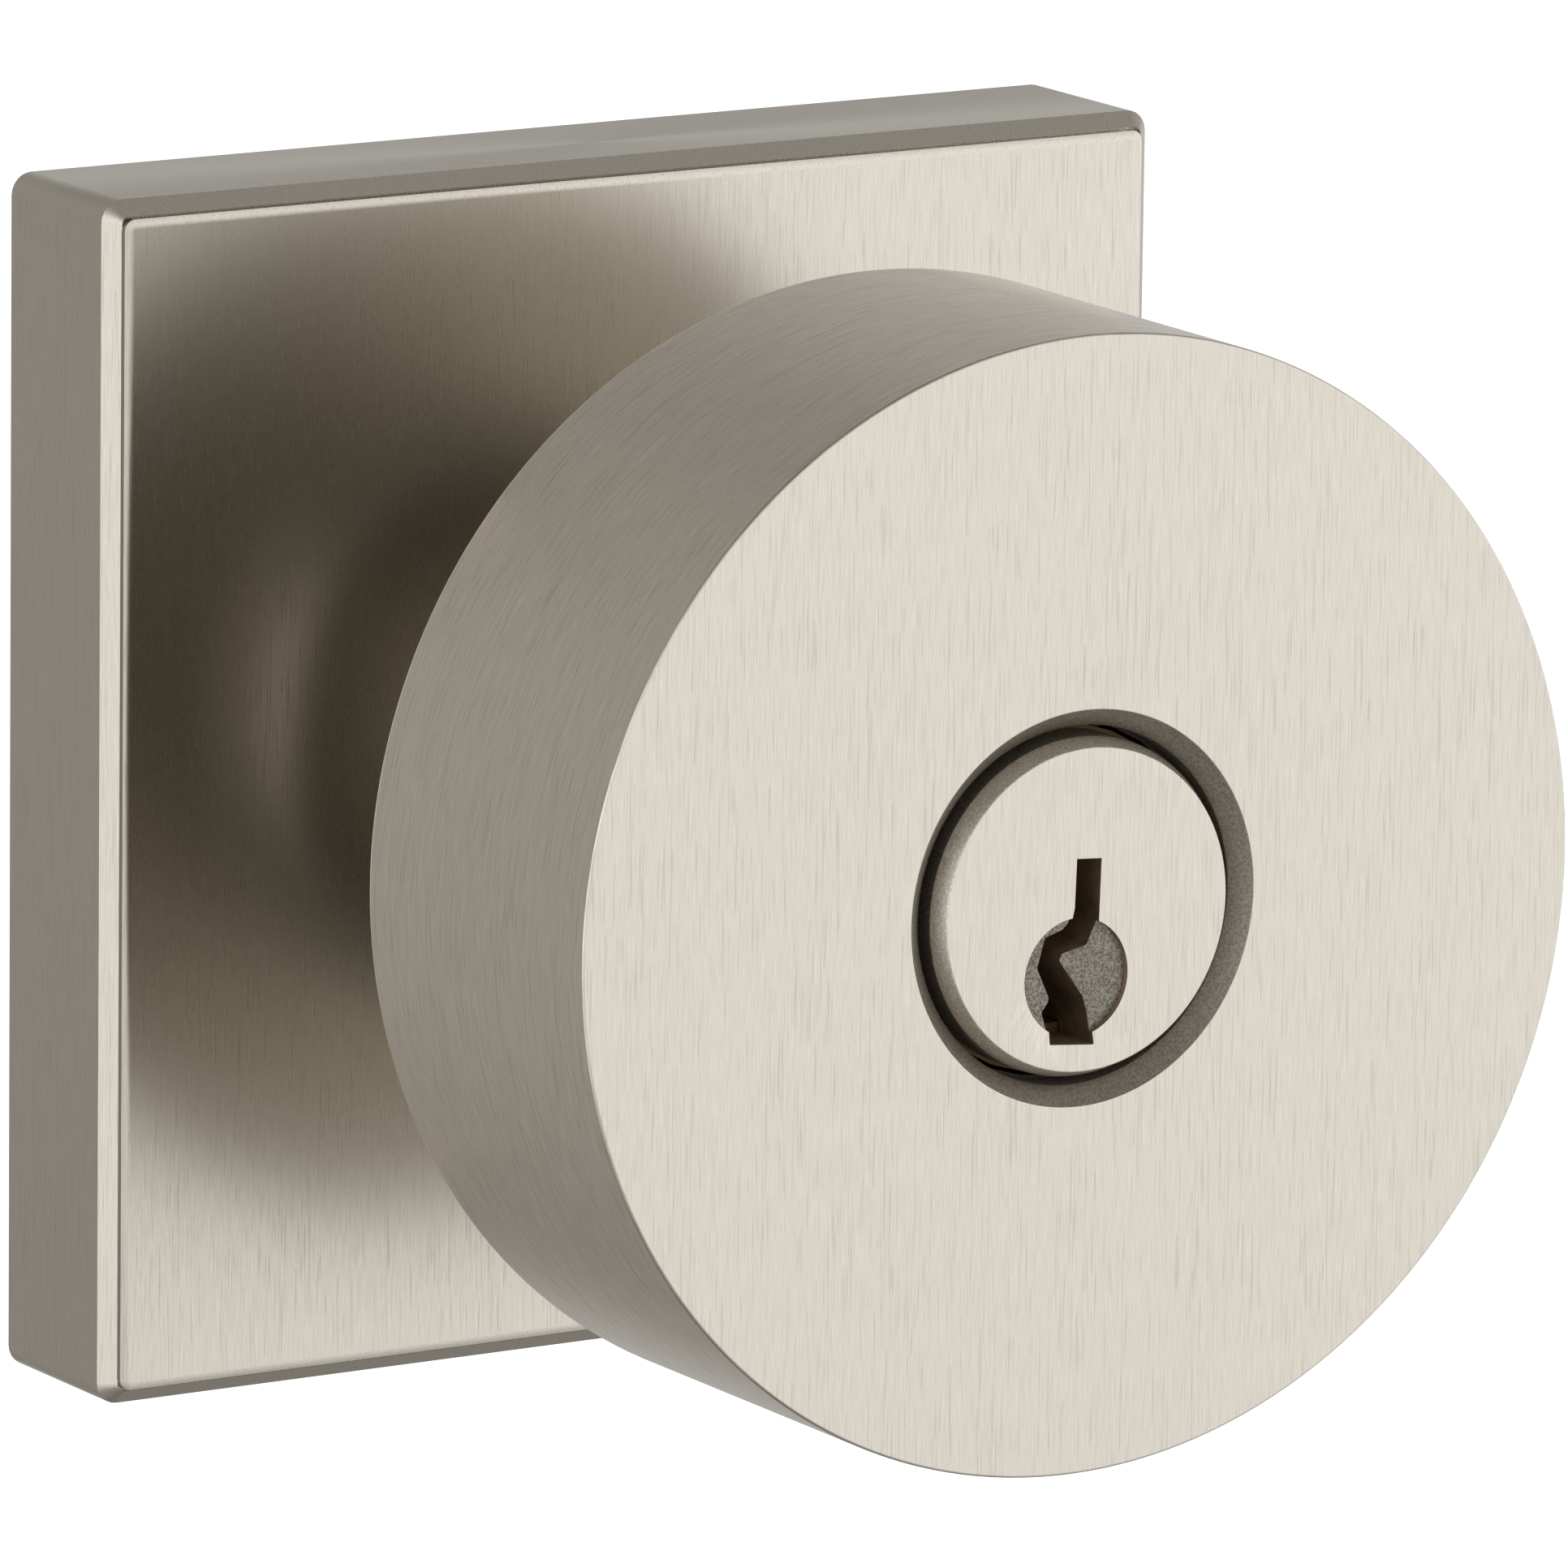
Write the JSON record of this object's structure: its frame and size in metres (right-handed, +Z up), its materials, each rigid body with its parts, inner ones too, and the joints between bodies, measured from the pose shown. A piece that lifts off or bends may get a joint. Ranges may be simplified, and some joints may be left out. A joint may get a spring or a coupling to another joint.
{
  "type": "keyed entry knob lock",
  "caption": "Round keyed knob on a square rose, outside half of an entry lock, with a sprung spindle, a pin cylinder, and posts and a tail blade that go into the door.",
  "frame": {"origin": "centre of the rose's back, on the outside face of the door, on the knob's axis", "axes": "+Z up, -Y out of the door towards the person with the key, +Y into the door along the knob's axis, +X to the right for that person"},
  "size_m": [0.065, 0.1058, 0.065],
  "materials": {
    "satin_nickel": "satin brushed nickel plate on brass",
    "plug_nickel": "satin nickel plate, slightly darker and grainier than the knob",
    "plated_steel": "zinc-plated steel",
    "zinc_casting": "as-cast zinc",
    "spring_steel": "spring steel",
    "brass_parts": "machined brass",
    "nylon": "natural nylon"
  },
  "bodies": {
    "chassis": {"rose": "satin_nickel", "mounting_plate": "plated_steel", "plate_screw_1": "plated_steel", "plate_screw_2": "plated_steel", "plate_screw_3": "plated_steel", "plate_screw_4": "plated_steel", "post_left": "plated_steel", "post_right": "plated_steel", "spring_cassette": "zinc_casting", "cassette_screw_1": "plated_steel", "cassette_screw_2": "plated_steel", "return_spring": "spring_steel", "neck_bushing": "nylon"},
    "knob": {"knob_shell": "satin_nickel", "knob_core": "zinc_casting", "knob_back": "satin_nickel", "core_screw_1": "plated_steel", "core_screw_2": "plated_steel", "core_screw_3": "plated_steel", "spindle": "plated_steel", "spindle_clip": "spring_steel", "drive_hub": "zinc_casting", "cylinder_body": "brass_parts", "chamber_cover": "brass_parts", "pin_spring_1": "spring_steel", "pin_spring_2": "spring_steel", "pin_spring_3": "spring_steel", "pin_spring_4": "spring_steel", "pin_spring_5": "spring_steel", "catch_spring": "spring_steel"},
    "plug_group": {"plug": "plug_nickel", "plug_cap": "brass_parts", "torque_blade": "plated_steel"},
    "catch": {"knob_catch": "plated_steel"},
    "key_pin_1": {"key_pin_1": "brass_parts"},
    "driver_pin_1": {"driver_pin_1": "brass_parts"},
    "key_pin_2": {"key_pin_2": "brass_parts"},
    "driver_pin_2": {"driver_pin_2": "brass_parts"},
    "key_pin_3": {"key_pin_3": "brass_parts"},
    "driver_pin_3": {"driver_pin_3": "brass_parts"},
    "key_pin_4": {"key_pin_4": "brass_parts"},
    "driver_pin_4": {"driver_pin_4": "brass_parts"},
    "key_pin_5": {"key_pin_5": "brass_parts"},
    "driver_pin_5": {"driver_pin_5": "brass_parts"}
  },
  "joints": [
    {"name": "knob_turn", "type": "hinge", "parent": "chassis", "child": "knob", "pos_m": [0, -0.0446, 0], "axis": [0, 1, 0], "range_deg": [-60, 60], "stiffness_Nm_per_rad": 0.3, "deforming": ["return_spring"]},
    {"name": "plug_turn", "type": "hinge", "parent": "knob", "child": "plug_group", "pos_m": [0, -0.0446, 0], "axis": [0, 1, 0], "range_deg": [-90, 90]},
    {"name": "catch_press", "type": "slide", "parent": "knob", "child": "catch", "axis": [0, 0, 1], "range_m": [0, 0.0024], "stiffness_N_per_m": 300, "springref_m": -0.003, "deforming": ["catch_spring"]},
    {"name": "key_pin_lift_1", "type": "slide", "parent": "plug_group", "child": "key_pin_1", "axis": [0, 0, 1], "range_m": [0, 0.00185]},
    {"name": "driver_pin_lift_1", "type": "slide", "parent": "knob", "child": "driver_pin_1", "axis": [0, 0, 1], "range_m": [0, 0.0018], "stiffness_N_per_m": 150, "springref_m": -0.004, "deforming": ["pin_spring_1"]},
    {"name": "key_pin_lift_2", "type": "slide", "parent": "plug_group", "child": "key_pin_2", "axis": [0, 0, 1], "range_m": [0, 0.00065]},
    {"name": "driver_pin_lift_2", "type": "slide", "parent": "knob", "child": "driver_pin_2", "axis": [0, 0, 1], "range_m": [0, 0.0018], "stiffness_N_per_m": 150, "springref_m": -0.004, "deforming": ["pin_spring_2"]},
    {"name": "key_pin_lift_3", "type": "slide", "parent": "plug_group", "child": "key_pin_3", "axis": [0, 0, 1], "range_m": [0, 0.00245]},
    {"name": "driver_pin_lift_3", "type": "slide", "parent": "knob", "child": "driver_pin_3", "axis": [0, 0, 1], "range_m": [0, 0.0018], "stiffness_N_per_m": 150, "springref_m": -0.004, "deforming": ["pin_spring_3"]},
    {"name": "key_pin_lift_4", "type": "slide", "parent": "plug_group", "child": "key_pin_4", "axis": [0, 0, 1], "range_m": [0, 0.00125]},
    {"name": "driver_pin_lift_4", "type": "slide", "parent": "knob", "child": "driver_pin_4", "axis": [0, 0, 1], "range_m": [0, 0.0018], "stiffness_N_per_m": 150, "springref_m": -0.004, "deforming": ["pin_spring_4"]},
    {"name": "key_pin_lift_5", "type": "slide", "parent": "plug_group", "child": "key_pin_5", "axis": [0, 0, 1], "range_m": [0, 0.00205]},
    {"name": "driver_pin_lift_5", "type": "slide", "parent": "knob", "child": "driver_pin_5", "axis": [0, 0, 1], "range_m": [0, 0.0018], "stiffness_N_per_m": 150, "springref_m": -0.004, "deforming": ["pin_spring_5"]}
  ]
}
